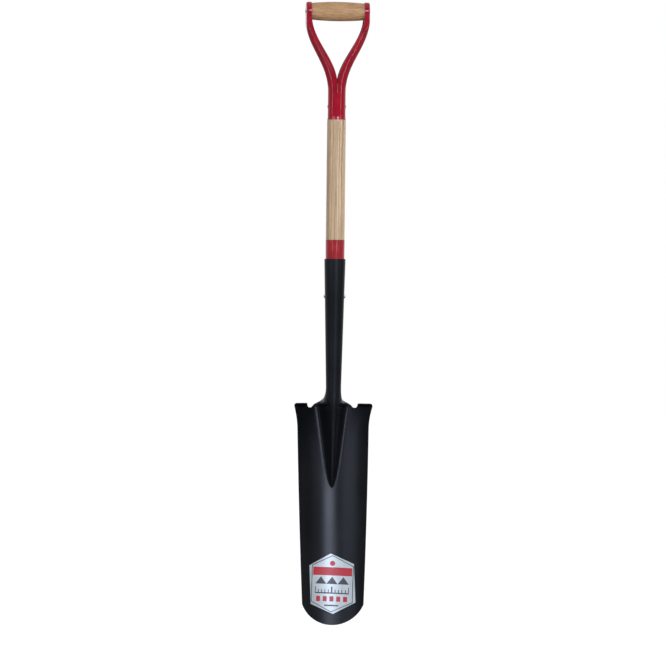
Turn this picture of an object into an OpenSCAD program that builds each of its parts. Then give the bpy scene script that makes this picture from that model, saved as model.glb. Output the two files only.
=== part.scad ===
// Trenching spade with a long gutter blade, an ash shaft and a riveted D grip.
// Z runs up the shaft, X across the blade, and the hollow of the blade faces -Y.
// The origin is on the shaft's axis, halfway up its bare wood. Lengths are in millimetres.

/* [Blade] */
// Length of the blade from its step to its tip
blade_l = 405; // [380:1:440]
// Width across the corners of the step
step_w = 144; // [140:1:150]
// Width of the blade just below its step, without the flare of the ears
shoulder_w = 131; // [124:1:136]
// Width of the blade where its round tip starts
tip_w = 113; // [100:1:118]
// Radius of the round tip
tip_r = 60.6; // [60:0.2:90]
// Radius of the gutter across the blade
gutter_r = 85; // [80:1:120]
// Height of the flared ears below the step
ear_h = 42; // [30:1:60]
// Thickness of the pressed steel sheet
sheet_t = 2; // [1.4:0.1:2.6]
// Angle between the blade and the shaft, which carries the tip forward
lift_deg = 8; // [3:0.5:12]

/* [Step] */
// Inside radius of the bend that turns the step forward
step_bend_r = 3.5; // [2.5:0.1:5]
// Length of the flat tread in front of that bend
tread_l = 6; // [4:0.2:9]

/* [Frog and neck] */
// Length of the raised frog from its point to the step
frog_l = 155; // [120:1:180]
// Width of the frog at the step
frog_w = 59; // [50:1:66]
// How far the gutter lies behind the shaft's axis at the step
heel_set = 33; // [26:1:38]
// Diameter of the neck
neck_d = 27.4; // [25:0.2:30]
// Height of the neck's fillet above the step
neck_rise = 22; // [18:1:32]

/* [Socket] */
// Length of the tapered socket above the neck
socket_l = 242; // [205:1:275]
// Width of the open seam along the back of the socket
seam_w = 2.4; // [1.5:0.1:4]
// Radial room between the socket and the wood
socket_fit = 0.5; // [0.4:0.05:0.8]
// Depth to which the shaft is driven into the socket
shaft_reach = 215; // [180:1:228]
// Distance of the socket's rivet below its mouth
socket_rivet_drop = 68; // [40:1:100]

/* [Shaft] */
// Diameter of the shaft
shaft_d = 34.4; // [34.2:0.2:36]
// Length of the bare wood between the band and the grip
bare_l = 220; // [180:1:400]
// Height of the coloured band above the socket
band_h = 35; // [20:1:50]
// Thickness of the coloured band
band_t = 0.3; // [0.2:0.05:0.5]
// Fall of the shaft's radius under the band
band_fall = 0.25; // [0.1:0.05:0.5]

/* [Grip] */
// Height of the crossbar's axis above the rim of the yoke
grip_h = 198; // [180:1:220]
// Width of the grip over the outer faces of its cups
grip_w = 116.8; // [108:0.4:130]
// Length of the crossbar that shows between the cups
hand_w = 97.4; // [88:0.2:104]
// Thickness of the yoke's pressed sheet
yoke_t = 1.6; // [1.2:0.1:2]
// Outside diameter of the yoke's tube
yoke_d = 32.5; // [31:0.1:33.4]
// Outside diameter of the yoke's flared rim
rim_d = 33.8; // [33.4:0.1:34]
// Height of the flared rim
rim_h = 5; // [3:0.5:8]
// Height of the yoke's tube below the fork
tube_h = 47.5; // [40:0.5:56]
// Height above the tube at which the arms lean outwards
fork_rise = 8.5; // [4:0.5:14]
// Height above the tube at which the slit opens into the crotch
crotch_rise = 16.5; // [10:0.5:24]
// Width of the slit between the arms
slit_w = 0.8; // [0.4:0.1:1.6]
// Length of the shaft's tenon inside the yoke
tenon_l = 66; // [50:1:72]
// Radial room between the yoke and the tenon
tenon_fit = 0.15; // [0.1:0.05:0.3]
// Diameter of the crossbar at its ends
bar_end_d = 30.6; // [28:0.2:32]
// Diameter of the crossbar in the middle
bar_mid_d = 35.5; // [33:0.1:38]
// Radial room between a cup and the crossbar
cup_fit = 0.5; // [0.3:0.05:0.8]

/* [Rivets] */
// Diameter of the socket rivet's shank
socket_rivet_d = 6; // [5:0.1:7]
// Diameter of the socket rivet's heads
socket_head_d = 8.4; // [7.6:0.1:10]
// Height of the socket rivet's heads
socket_head_h = 2.3; // [1.6:0.1:3]
// Diameter of the yoke rivet's shank
yoke_rivet_d = 4.8; // [4:0.1:5.6]
// Diameter of the yoke rivet's heads
yoke_head_d = 6.8; // [6.2:0.1:8]
// Height of the yoke rivet's heads
yoke_head_h = 0.8; // [0.5:0.1:0.8]
// Distance of the yoke's rivet above its rim
yoke_rivet_rise = 24; // [22:0.5:30]
// Diameter of the rod through the crossbar
rod_d = 6.4; // [5:0.1:7]
// Diameter of the rod's heads
rod_head_d = 8.8; // [8:0.1:10]
// Height of the rod's heads
rod_head_h = 1.4; // [1:0.1:2]
// Radial room between a rivet or rod and its hole
pin_fit = 0.15; // [0.1:0.05:0.25]

/* [Label] */
// Width of the foil label
label_w = 82; // [60:1:86]
// Height of the foil label over its points
label_h = 110; // [90:1:116]
// Height of each of the label's points
label_point_h = 20; // [12:1:28]
// Height of the label's middle above the tip of the blade
label_rise = 75; // [68:1:110]

/* [Hidden] */
$fn = 96;

// Overrun of a cutting body past the surface that it opens
overrun = 1;
// Thickness of the foil, and of the glue under it
foil_t = 0.25;
glue_t = 0.1;
// Half width to which the columns of the sheet draw in at the frog's point
pinch_x = 3;
// Air between a rivet's head and the sheet below it
head_gap = 0.05;
// Lap of the arms inside the top of the yoke's tube, down it and into its wall
arm_lap = 6;
arm_tuck = 0.3;
// Rounding of the cups' outer top corners, and of the crossbar's ends
cup_corner_r = 4;
bar_chamfer = 2;
// Room between the end of the crossbar and the web of its cup
bar_end_gap = 1.5;
// Height below the crossbar's axis at which the arms' inner edges are upright
arm_upright = 5;

// Heights along the shaft's axis
yoke_z = bare_l / 2;
band_z = -bare_l / 2;
mouth_z = band_z - band_h;
step_z = mouth_z - socket_l - neck_rise;
tip_z = step_z - blade_l;
bar_z = yoke_z + grip_h;

// Heights above the tip of the blade, and the length of sheet in the step's bend
bend_h = blade_l - step_bend_r - sheet_t;
neck_h = blade_l + neck_rise;
mouth_h = neck_h + socket_l;
apex_h = blade_l - frog_l;
bend_run = step_bend_r * PI / 2;
tip_rise = tip_r - sqrt(pow(tip_r, 2) - pow(tip_w / 2, 2));

// Radii
shaft_r = shaft_d / 2;
neck_r = neck_d / 2;
mouth_r = shaft_r - band_fall + socket_fit + sheet_t;
socket_taper = (mouth_r - neck_r) / socket_l;
yoke_r = yoke_d / 2;
bore_r = yoke_r - yoke_t;
tenon_r = bore_r - tenon_fit;
cup_r = bar_end_d / 2 + cup_fit + yoke_t;

// Shares that shape the pressed sheet
edge_bow_share = 0.44;
frog_crest_share = 0.9;
frog_rise_power_share = 0.75;
strip_share = 0.57;
strip_knee_share = 0.72;
frog_lead_share = 0.35;
neck_power_share = 1.4;
tread_reach_shares = [0.3, 0.65, 0.9, 1, 1, 1, 0.95, 0.8];

// Cells of the pressed sheet, across one half and up its length
frog_cells = 8;
strip_cells = 13;
scallop_cells = 2;
tread_cells = len(tread_reach_shares) - 1;
half_cells = strip_cells + scallop_cells + tread_cells;
gutter_rows = 8;
frog_rows = 18;
blade_rows = gutter_rows + frog_rows;
bend_rows = 6;
neck_rows = 9;
socket_rows = 2;
apex_row_power_share = 1.4;

// Sections of one arm of the yoke, up its length, over its cup and round its channel
arm_rows = 15;
cup_rows = 6;
cup_turn_deg = 82;
channel_cells = 20;
tube_roundness = 2;
cup_roundness = 7;
barrel_cells = 14;
dome_cells = 6;
label_cells = 16;

function mix(a, b, k) = a + (b - a) * k;
function within(f) = max(0, min(1, f));
function ease(f) = f * f * (3 - 2 * f);
function swell(f) = (1 - cos(180 * f)) / 2;

// Half width of the blade's front at a height above its tip, where the widths are over its back
function edge_x(h) =
    let (f = within((h - tip_rise) / (bend_h - tip_rise)),
        flare = within((h - bend_h + ear_h) / ear_h),
        plain = mix(tip_w, shoulder_w, f + edge_bow_share * f * (1 - f)) / 2)
    (plain + (step_w - shoulder_w) / 2 * pow(flare, 2)) * gutter_r / (gutter_r + sheet_t);

// Depth of the gutter's floor, and of its wall at a distance from the middle
function floor_y(h) = heel_set + (h - bend_h) * tan(lift_deg);
function gutter_y(x) = sqrt(pow(gutter_r, 2) - pow(x, 2)) - gutter_r;
function gutter_normal(x) = [-x / gutter_r, -sqrt(1 - pow(x / gutter_r, 2)), 0];

// The frog's half width and its rise out of the gutter
function frog_share(h) = max(0, (h - apex_h) / (bend_h - apex_h));
function frog_x(h) = frog_w / 2 * sqrt(frog_share(h));
function frog_rise(h) =
    (heel_set + neck_r) * frog_crest_share * pow(frog_share(h), frog_rise_power_share);
function frog_y(x, h) = abs(x) < frog_x(h) ? -frog_rise(h) * (1 + cos(180 * x / frog_x(h))) / 2 : 0;

// Columns of the strip up the middle: the inner ones fan out over the frog, from its point both ways
function strip_x(t, h) =
    let (edge = strip_share * edge_x(min(h, bend_h)),
        fan = frog_w / 2 * sqrt(abs(h - apex_h) / (bend_h - apex_h)),
        knee = min(max(fan, pinch_x), max(edge * strip_knee_share, frog_x(h))),
        n = abs(t) * strip_cells)
    sign(t) * (n <= frog_cells ? knee * n / frog_cells
        : mix(knee, edge, (n - frog_cells) / (strip_cells - frog_cells)));

// Open section of the blade, closed section of the socket, and the neck that joins them
function open_xy(x, h) = [x, floor_y(h) + gutter_y(x) + frog_y(x, h)];
function tube_xy(t, h) =
    let (r = neck_r + max(0, h - neck_h) * socket_taper,
        turn = t * (180 - asin(seam_w / 2 / r)))
    [r * sin(turn), -r * cos(turn)];
function closing(t, h) =
    let (side = within(abs(t) * strip_cells / frog_cells),
        start = bend_h - frog_l * frog_lead_share * pow(1 - side, 2),
        f = within((h - start) / (neck_h - start)))
    mix(ease(f), 1 - pow(1 - f, neck_power_share), side);
function strip_xy(t, h) = mix(open_xy(strip_x(t, h), h), tube_xy(t, h), closing(t, h));

// Place of a column beside the strip, as a share of the half width
function wing_share(i) = mix(strip_share, 1, (i - strip_cells) / (half_cells - strip_cells));

// Height of a row: the gutter, the frog, then the neck and the socket
function row_h(j) = j <= gutter_rows ? apex_h * j / gutter_rows
    : j <= blade_rows
    ? mix(apex_h, bend_h, pow((j - gutter_rows) / frog_rows, apex_row_power_share))
    : j <= blade_rows + neck_rows
    ? mix(bend_h, neck_h, (j - blade_rows) / neck_rows)
    : mix(neck_h, mouth_h, (j - blade_rows - neck_rows) / socket_rows);

// Rows below the frog bend down to follow the round edge of the tip, by a share of its half width
function tip_edge_h(s) = tip_r - sqrt(pow(tip_r, 2) - pow(s * tip_w / 2, 2));
function gutter_h(s, h) = mix(tip_edge_h(s), apex_h, h / apex_h);
function gutter_point(x, h) = let (p = open_xy(x, h)) [p.x, p.y, h];

// A tread column bends forward and then runs flat, along the sheet's own front
function tread_point(u, run) =
    let (x = u * edge_x(bend_h),
        foot = open_xy(x, bend_h),
        turn = min(run / step_bend_r * 180 / PI, 90),
        ahead = step_bend_r * (1 - cos(turn)) + max(0, run - bend_run),
        lip = gutter_normal(x) * ahead)
    [foot.x + lip.x, foot.y + lip.y, bend_h + step_bend_r * sin(turn)];

function sheet_point(i, j) =
    let (h = row_h(j), t = i / strip_cells, u = sign(i) * wing_share(abs(i)), low = j < gutter_rows)
    abs(t) <= 1
    ? (low ? gutter_point(strip_x(t, h), gutter_h(strip_x(t, 0) / edge_x(0), h))
        : let (p = strip_xy(t, h)) [p.x, p.y, h])
    : j <= blade_rows ? let (g = low ? gutter_h(u, h) : h) gutter_point(u * edge_x(g), g)
    : let (reach = tread_reach_shares[max(0, abs(i) - strip_cells - scallop_cells)],
            run = reach * (bend_run + tread_l))
        tread_point(u, run * min(1, (j - blade_rows) / bend_rows));

// Which cells of the grid are steel: the blade, the strip up the middle, and the two treads
function sheet_cell(i, j) =
    let (inner = min(abs(i), abs(i + 1)), outer = max(abs(i), abs(i + 1)))
    j < blade_rows || outer <= strip_cells
    || (inner >= strip_cells + scallop_cells && j < blade_rows + bend_rows);

function unit(v) = norm(v) > 0 ? v / norm(v) : v;

// A closed skin over a grid of points, with the cells that solid marks and one thickness.
// The points face the front, and the back lies the thickness behind them.
module pressed_sheet(points, solid, thickness) {
    rows = len(points);
    columns = len(points[0]);
    count = rows * columns;
    cell_normal = [for (j = [0:rows - 2]) [for (i = [0:columns - 2])
        solid[j][i] ? cross(points[j + 1][i + 1] - points[j][i], points[j + 1][i] - points[j][i + 1])
        : [0, 0, 0]]];
    is_solid = function (j, i)
        j >= 0 && j < rows - 1 && i >= 0 && i < columns - 1 && solid[j][i];
    normal_at = function (j, i) is_solid(j, i) ? unit(cell_normal[j][i]) : [0, 0, 0];
    front = [for (row = points) each row];
    back = [for (j = [0:rows - 1]) for (i = [0:columns - 1])
        points[j][i] - thickness * unit(normal_at(j, i) + normal_at(j - 1, i)
            + normal_at(j, i - 1) + normal_at(j - 1, i - 1))];
    faces = [for (j = [0:rows - 2]) for (i = [0:columns - 2]) if (solid[j][i])
        let (a = j * columns + i, b = a + 1, d = a + columns, c = d + 1,
            halves = 2 * i < columns - 1 ? [[a, d, c], [a, c, b]] : [[a, d, b], [d, c, b]])
        each concat(
            halves, [for (f = halves) [f[0] + count, f[2] + count, f[1] + count]],
            is_solid(j - 1, i) ? [] : [[a, b, b + count], [a, b + count, a + count]],
            is_solid(j, i + 1) ? [] : [[b, c, c + count], [b, c + count, b + count]],
            is_solid(j + 1, i) ? [] : [[c, d, d + count], [c, d + count, c + count]],
            is_solid(j, i - 1) ? [] : [[d, a, a + count], [d, a + count, d + count]])];
    polyhedron(concat(front, back), faces);
}

// A closed body through a list of sections with the same number of points, from below upwards
module loft(sections) {
    rows = len(sections);
    columns = len(sections[0]);
    top = (rows - 1) * columns;
    sides = [for (j = [0:rows - 2]) for (i = [0:columns - 1])
        let (a = j * columns + i, b = j * columns + (i + 1) % columns)
        each [[a, a + columns, b + columns], [a, b + columns, b]]];
    ends = [for (i = [1:columns - 2]) each [[0, i, i + 1], [top, top + i + 1, top + i]]];
    polyhedron([for (section = sections) each section], concat(sides, ends));
}

// A shank along X, as long as the named span
module cross_pin(d, span) {
    rotate([0, 90, 0]) cylinder(d = d, h = span, center = true);
}

// A domed head on the +X side: a rim that is sunk below the plane X = seat, and a round dome on it
module domed_head(d, h, seat, sink) {
    dome_r = (pow(d / 2, 2) + pow(h, 2)) / (2 * h);
    span_deg = asin(d / 2 / dome_r);
    dome = [for (i = [0:dome_cells])
        let (turn = span_deg * (1 - i / dome_cells))
        [dome_r * sin(turn), dome_r * cos(turn) - dome_r + h]];
    translate([seat, 0, 0]) rotate([0, 90, 0])
        rotate_extrude() polygon(concat([[0, -sink], [d / 2, -sink]], dome));
}

// A rivet along X, whose heads are cut to the round or tapered wall that they are set on
module seated_rivet(shank_d, head_d, head_h, seat_r, taper) {
    sink = seat_r - sqrt(pow(seat_r, 2) - pow(head_d / 2, 2)) + head_d * taper;
    cross_pin(shank_d, 2 * seat_r + head_h);
    for (turn = [0, 180]) rotate([0, 0, turn]) difference() {
        domed_head(head_d, head_h, seat_r, sink);
        translate([0, 0, -head_d])
            cylinder(r1 = seat_r + head_gap - head_d * taper, r2 = seat_r + head_gap + head_d * taper,
                h = 2 * head_d);
    }
}

// Outside radius of the socket at a height of the shaft's axis
function socket_r(z) = mouth_r - (mouth_z - z) * socket_taper;

module blade() {
    rows = blade_rows + neck_rows + socket_rows;
    points = [for (j = [0:rows]) [for (i = [-half_cells:half_cells]) sheet_point(i, j)]];
    solid = [for (j = [0:rows - 1]) [for (i = [-half_cells:half_cells - 1]) sheet_cell(i, j)]];
    color("#26272b")
    difference() {
        translate([0, 0, tip_z]) pressed_sheet(points, solid, sheet_t);
        translate([0, 0, mouth_z - socket_rivet_drop])
            cross_pin(socket_rivet_d + 2 * pin_fit, 2 * (mouth_r + overrun));
    }
}

// The shaft tapers into the socket, and a shoulder carries the yoke round a thinner tenon
module shaft() {
    end_z = mouth_z - shaft_reach;
    end_r = socket_r(end_z) - sheet_t - socket_fit;
    color("#b8976b")
    difference() {
        rotate_extrude() polygon([[0, end_z], [end_r, end_z], [shaft_r - band_fall, mouth_z],
            [shaft_r, band_z], [shaft_r, yoke_z], [tenon_r, yoke_z], [tenon_r, yoke_z + tenon_l],
            [0, yoke_z + tenon_l]]);
        translate([0, 0, mouth_z - socket_rivet_drop])
            cross_pin(socket_rivet_d + 2 * pin_fit, 2 * (shaft_r + overrun));
        translate([0, 0, yoke_z + yoke_rivet_rise])
            cross_pin(yoke_rivet_d + 2 * pin_fit, 2 * (tenon_r + overrun));
    }
}

module shaft_band() {
    foot_r = shaft_r - band_fall;
    color("#942a2f")
    rotate_extrude() polygon([[foot_r, mouth_z], [foot_r + band_t, mouth_z], [shaft_r + band_t, band_z],
        [shaft_r, band_z]]);
}

module socket_rivet() {
    z = mouth_z - socket_rivet_drop;
    color("#c9ccd1")
    translate([0, 0, z])
        seated_rivet(socket_rivet_d, socket_head_d, socket_head_h, socket_r(z), socket_taper);
}

// Half widths of an arm's channel at a height above the yoke's rim, at its web and at its open edges
function arm_lean(h) = within((h - tube_h - fork_rise) / (grip_h - cup_r - tube_h - fork_rise));
function web_x(h) = mix(yoke_r - arm_tuck, grip_w / 2, swell(arm_lean(h)));
function lip_x(h) =
    let (start = tube_h + crotch_rise)
    mix(slit_w, hand_w, swell(within((h - start) / (grip_h - arm_upright - start)))) / 2;

// A channel section: a half round at the tube that squares up towards the cup
function channel(lip, web, depth, roundness, z) = [for (i = [0:channel_cells])
    let (turn = mix(-90, 90, i / channel_cells))
    [lip + (web - lip) * pow(cos(turn), 2 / roundness),
        depth * sign(turn) * pow(abs(sin(turn)), 2 / roundness), z]];

// The arm's form, drawn in by the inset and with its open side moved by the gape
module arm_form(inset, gape, foot) {
    top_r = cup_r - inset;
    arm = [for (j = [0:arm_rows])
        let (h = mix(foot, grip_h, j / arm_rows), f = ease(arm_lean(h)))
        channel(lip_x(h) - gape, web_x(h) - inset, mix(yoke_r - arm_tuck, cup_r, f) - inset,
            mix(tube_roundness, cup_roundness, f), yoke_z + h)];
    cup = [for (j = [1:cup_rows])
        let (turn = cup_turn_deg * j / cup_rows,
            rise = within((top_r * sin(turn) - top_r + cup_corner_r) / cup_corner_r),
            web = grip_w / 2 - inset - cup_corner_r * (1 - sqrt(1 - pow(rise, 2))))
        channel(hand_w / 2 - gape, web, top_r * cos(turn), cup_roundness, bar_z + top_r * sin(turn))];
    loft(concat(arm, cup));
}

module arm() {
    difference() {
        arm_form(0, 0, tube_h - arm_lap);
        arm_form(yoke_t, overrun, tube_h - arm_lap - overrun);
    }
}

// A short tube that carries two half-tube arms, spread apart and cupped round the crossbar
module yoke() {
    color("#a51c2d")
    difference() {
        union() {
            translate([0, 0, yoke_z]) rotate_extrude() polygon([[0, 0], [rim_d / 2, 0],
                [yoke_r, rim_h], [yoke_r, tube_h], [0, tube_h]]);
            arm();
            mirror([1, 0, 0]) arm();
        }
        translate([0, 0, yoke_z - overrun]) cylinder(r = bore_r, h = tenon_l + 2 * overrun);
        translate([0, 0, yoke_z + yoke_rivet_rise])
            cross_pin(yoke_rivet_d + 2 * pin_fit, rim_d + overrun);
        translate([0, 0, bar_z]) cross_pin(rod_d + 2 * pin_fit, grip_w + overrun);
    }
}

module yoke_rivet() {
    color("#a51c2d")
    translate([0, 0, yoke_z + yoke_rivet_rise])
        seated_rivet(yoke_rivet_d, yoke_head_d, yoke_head_h, yoke_r, 0);
}

// A barrel of wood whose ends sit in the cups
module crossbar() {
    bar_l = grip_w - 2 * yoke_t - 2 * bar_end_gap;
    end_r = bar_end_d / 2;
    barrel = [for (i = [0:barrel_cells])
        let (f = mix(-1, 1, i / barrel_cells))
        [mix(bar_mid_d, bar_end_d, f * f) / 2, f * hand_w / 2]];
    color("#b4946c")
    translate([0, 0, bar_z])
    difference() {
        rotate([0, 90, 0]) rotate_extrude() polygon(concat(
            [[0, -bar_l / 2], [end_r - bar_chamfer, -bar_l / 2], [end_r, bar_chamfer - bar_l / 2]],
            barrel,
            [[end_r, bar_l / 2 - bar_chamfer], [end_r - bar_chamfer, bar_l / 2], [0, bar_l / 2]]));
        cross_pin(rod_d + 2 * pin_fit, bar_l + 2 * overrun);
    }
}

module crossbar_rod() {
    color("#c9ccd1")
    translate([0, 0, bar_z]) {
        cross_pin(rod_d, grip_w + rod_head_h);
        for (turn = [0, 180]) rotate([0, 0, turn])
            domed_head(rod_head_d, rod_head_h, grip_w / 2 + head_gap, 0);
    }
}

// A six-sided foil laid in the gutter
module label() {
    points = [for (v = [-1, 1]) [for (i = [0:label_cells])
        let (u = mix(-1, 1, i / label_cells),
            x = u * label_w / 2,
            h = label_rise + v * (label_h / 2 - label_point_h * abs(u)),
            p = open_xy(x, h),
            n = gutter_normal(x) * (glue_t + foil_t))
        [p.x + n.x, p.y + n.y, h]]];
    color("#c8cacc")
    translate([0, 0, tip_z]) pressed_sheet(points, [[for (i = [1:label_cells]) true]], foil_t);
}

blade();
shaft();
shaft_band();
socket_rivet();
yoke();
yoke_rivet();
crossbar();
crossbar_rod();
label();
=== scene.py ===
"""A trenching spade: pressed gutter blade with a rolled socket, ash shaft and riveted D grip."""

import functools
import math

import bmesh
import bpy
from bpy.props import FloatProperty, FloatVectorProperty, PointerProperty
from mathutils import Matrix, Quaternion, Vector
from mathutils.kdtree import KDTree


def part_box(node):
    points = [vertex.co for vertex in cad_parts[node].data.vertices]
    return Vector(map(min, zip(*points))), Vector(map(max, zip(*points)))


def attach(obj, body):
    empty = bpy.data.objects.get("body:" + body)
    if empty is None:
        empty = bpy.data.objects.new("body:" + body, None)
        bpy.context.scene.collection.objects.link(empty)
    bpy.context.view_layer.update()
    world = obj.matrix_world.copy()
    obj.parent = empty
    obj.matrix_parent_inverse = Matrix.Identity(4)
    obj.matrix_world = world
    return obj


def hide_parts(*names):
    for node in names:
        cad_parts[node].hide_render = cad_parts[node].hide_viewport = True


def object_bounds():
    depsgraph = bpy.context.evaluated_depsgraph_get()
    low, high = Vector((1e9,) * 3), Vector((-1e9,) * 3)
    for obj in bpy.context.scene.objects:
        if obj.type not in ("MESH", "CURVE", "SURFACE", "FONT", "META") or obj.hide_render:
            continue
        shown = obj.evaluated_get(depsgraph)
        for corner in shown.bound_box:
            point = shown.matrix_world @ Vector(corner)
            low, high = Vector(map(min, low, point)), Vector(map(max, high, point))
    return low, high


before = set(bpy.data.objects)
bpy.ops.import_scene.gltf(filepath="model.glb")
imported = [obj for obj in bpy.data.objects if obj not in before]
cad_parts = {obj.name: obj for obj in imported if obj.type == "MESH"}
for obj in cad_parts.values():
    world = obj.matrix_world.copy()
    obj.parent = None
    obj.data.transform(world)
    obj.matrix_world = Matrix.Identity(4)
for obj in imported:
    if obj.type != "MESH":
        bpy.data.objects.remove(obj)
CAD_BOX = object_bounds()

bl_info = {
    "name": "Trenching Spade",
    "version": (1, 0, 0),
    "blender": (4, 5, 0),
    "location": "View3D > Sidebar > Spade",
    "description": "Builds the finished pieces of a trenching spade on its CAD frame",
    "category": "Add Mesh",
}

LOW = {name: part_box(name)[0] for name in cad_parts}
HIGH = {name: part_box(name)[1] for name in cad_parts}
MIDDLE = {name: (LOW[name] + HIGH[name]) / 2 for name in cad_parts}
SPAN = {name: HIGH[name] - LOW[name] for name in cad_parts}

# Counts of cells across and along the finished meshes
FROG_CELLS, STRIP_CELLS, SCALLOP_CELLS, TREAD_CELLS = 32, 46, 8, 33
GUTTER_ROWS, FROG_ROWS, BEND_ROWS, NECK_ROWS, SOCKET_ROWS = 60, 84, 12, 46, 58
ARM_CELLS, TUBE_ROWS, ARM_ROWS, CUP_ROWS = 72, 26, 96, 36
LABEL_COLUMNS, LABEL_ROWS = 56, 48
TURNS, HEAD_RINGS, BARREL_ROWS = 128, 12, 48
# Longest step between rings of the shaft, and between those of the band and the crossbar
LONG_STEP, SHORT_STEP = 0.012, 0.006
# Distance within which points are one
JOIN = 2e-6
# Play under the head of a pin
PLAY = 0.00005
# Share of its shorter side that the rounding of a corner may take
CORNER = 0.45
# Angles from which an edge of a sheet is rounded, and an edge of a turned piece stays sharp
ROUND_FROM, SHARP_FROM = math.radians(50), math.radians(40)

# Pressing of the blade: bow of its sides, then share and power of the frog's flare towards the step
SIDE_BOW, FROG_FLARE, FLARE_POWER = 0.44, 0.14, 4
# Powers of the frog's climb to the neck, of its crest and of its soft toes
CLIMB, CREST, TOE = 0.75, 1.1, 6
# Share of the blade's width that runs on into the neck
STRIP = 0.54
# Reach of the strip's close columns: share of the frog's width, least distance and most of the strip
KNEE, KNEE_LEAST, KNEE_MOST = 0.3, 0.003, 0.86
# Powers with which the strip rolls up, and with which its front moves out to the neck
ROLL, FRONT = 1.55, 4
# Share of its width to which the strip is cut beside the neck, the rise that takes it, and its power
WAIST, WAIST_RISE, WAIST_POWER = 0.76, 0.3, 1.5
# Shares of a tread's width where it is full and where it rounds off, and the share that this takes away
TREAD_FULL, TREAD_OFF, TREAD_LOSS = 0.36, 0.72, 0.2
# Pressing of the yoke: powers of a round and a squared section, of how late it squares, and of the lean
ROUND, SQUARE, LATE, LEAN = 2, 7, 40, 1.17
# Extra opening of the arms towards the cups, and height over which the slit opens
OPENING, SLIT_RISE = 0.14, 0.003
# Powers that gather the rows at the frog's point and at the fork
FROG_PACE, ARM_PACE = 1.4, 1.2

# Rows of marks on the label, in metres from its middle: half pitch, half width, height, half height
MARKS = {
    "blocks": (0.0062, 0.0036, -0.0275, 0.0048),
    "ticks": (0.0031, 0.0008, -0.0135, 0.0030),
    "posts": (0.0155, 0.0013, -0.0110, 0.0055),
}
# Heights and half heights of the lines on it
LINES = {"band": (0.0225, 0.0075), "base": (-0.0170, 0.0011), "rule": (-0.0395, 0.0013)}
# Half widths of the print and of the rule, and the band's distance from the label's edge
PRINT_HALF, RULE_HALF, BAND_IN = 0.0310, 0.0130, 0.0052
# Distance of the frame line from the edge, and half its width
FRAME_LINE = (0.0034, 0.0007)
# Half pitch, slope and foot of the hills
HILL_HALF, HILL_SLOPE, HILL_FOOT = 0.0103, 1.30, -0.0005
# Height and radius of the dot
DOT_HEIGHT, DOT_RADIUS = 0.0370, 0.0048

# Half the floor's width
FLOOR_HALF = 30.0
# Directions that the soft light and the white part of the room lean to
LIGHT_SIDE, BACK_AND_UP = (0.52, -0.15, 0.20), (0.0, 1.0, 1.2)
# Brightness of the room in front, as gloss sees it
FRONT_DIM = 0.09


def length(name, description, default, least=0.0):
    """A length that the sidebar shows in the scene's units."""
    return FloatProperty(name=name, description=description, default=default, min=least,
                         subtype="DISTANCE", unit="LENGTH", precision=4)


def angle(name, description, degrees):
    """An angle that is written here in degrees."""
    return FloatProperty(name=name, description=description, default=math.radians(degrees),
                         subtype="ANGLE", unit="ROTATION")


def share(name, description, default):
    """A plain number from 0 to 40."""
    return FloatProperty(name=name, description=description, default=default, min=0.0, max=40.0)


def colour(name, description, default):
    """A linear colour."""
    return FloatVectorProperty(name=name, description=description, default=default, size=3,
                               min=0.0, max=1.0, subtype="COLOR")


class BladeSizes(bpy.types.PropertyGroup):
    """Sizes of the pressed blade, its frog, neck and socket."""

    blade: length("Blade", "Length of the blade from its step to its tip", 0.405)
    step: length("Step width", "Width across the corners of the step", SPAN["blade"].x)
    shoulder: length("Shoulder width", "Width just below the step, without the flared ears", 0.1325)
    tip: length("Tip width", "Width where the round tip starts", 0.113)
    tip_radius: length("Tip radius", "Radius of the round tip", 0.0606)
    gutter: length("Gutter radius", "Radius of the gutter across the blade", 0.085)
    ear: length("Ear height", "Height of the flared ears below the step", 0.042)
    sheet: length("Sheet", "Thickness of the pressed steel", 0.002)
    lift: angle("Lift", "Angle between the blade and the shaft", 7.965)
    bend: length("Step bend", "Inside radius of the bend that turns the step forward", 0.0035)
    tread: length("Tread", "Length of the flat tread in front of the bend", 0.006)
    frog: length("Frog length", "Length of the raised frog from its point to the step", 0.155)
    frog_width: length("Frog width", "Width of the frog at the step, with its soft toes", 0.116)
    scallop: length("Scallop", "Depth of the round cut between the neck and a tread", 0.0027)
    scallop_out: length("Scallop place", "Distance of a scallop's middle from the shaft's axis", 0.041)
    scallop_half: length("Scallop half", "Half the width of a scallop", 0.0085)
    scallop_below: length("Scallop below", "Reach of a scallop below the bend", 0.020)
    scallop_above: length("Scallop above", "Reach of a scallop above the bend", 0.008)
    heel: length("Heel set", "How far the gutter lies behind the shaft's axis at the step", 0.0328)
    neck: length("Neck", "Diameter of the neck", 0.0274)
    neck_rise: length("Neck rise", "Height above the step at which the socket starts to widen", 0.022)
    fillet: length("Neck fillet", "Height above the step at which the neck is fully round", 0.030)
    seam: length("Seam", "Width of the open seam along the back of the socket", 0.0024)
    mouth: length("Mouth", "Outside diameter of the socket's mouth", 0.0389)
    rounding: length("Edge rounding", "Rounding of the sheet's edges", 0.0006)


class ShaftSizes(bpy.types.PropertyGroup):
    """Sizes of the wooden shaft and its coloured band."""

    diameter: length("Diameter", "Diameter of the bare shaft", SPAN["shaft"].x)
    fall: length("Fall", "Fall of the radius under the band", 0.00025)
    end: length("Driven end", "Diameter of the shaft's lower end, inside the socket", 0.0238)
    tenon: length("Tenon", "Diameter of the tenon inside the yoke", 0.029)
    film: length("Film", "Thickness of the coloured band", 0.0003)
    rounding: length("Rounding", "Rounding of the turned edges", 0.0012)


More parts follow.
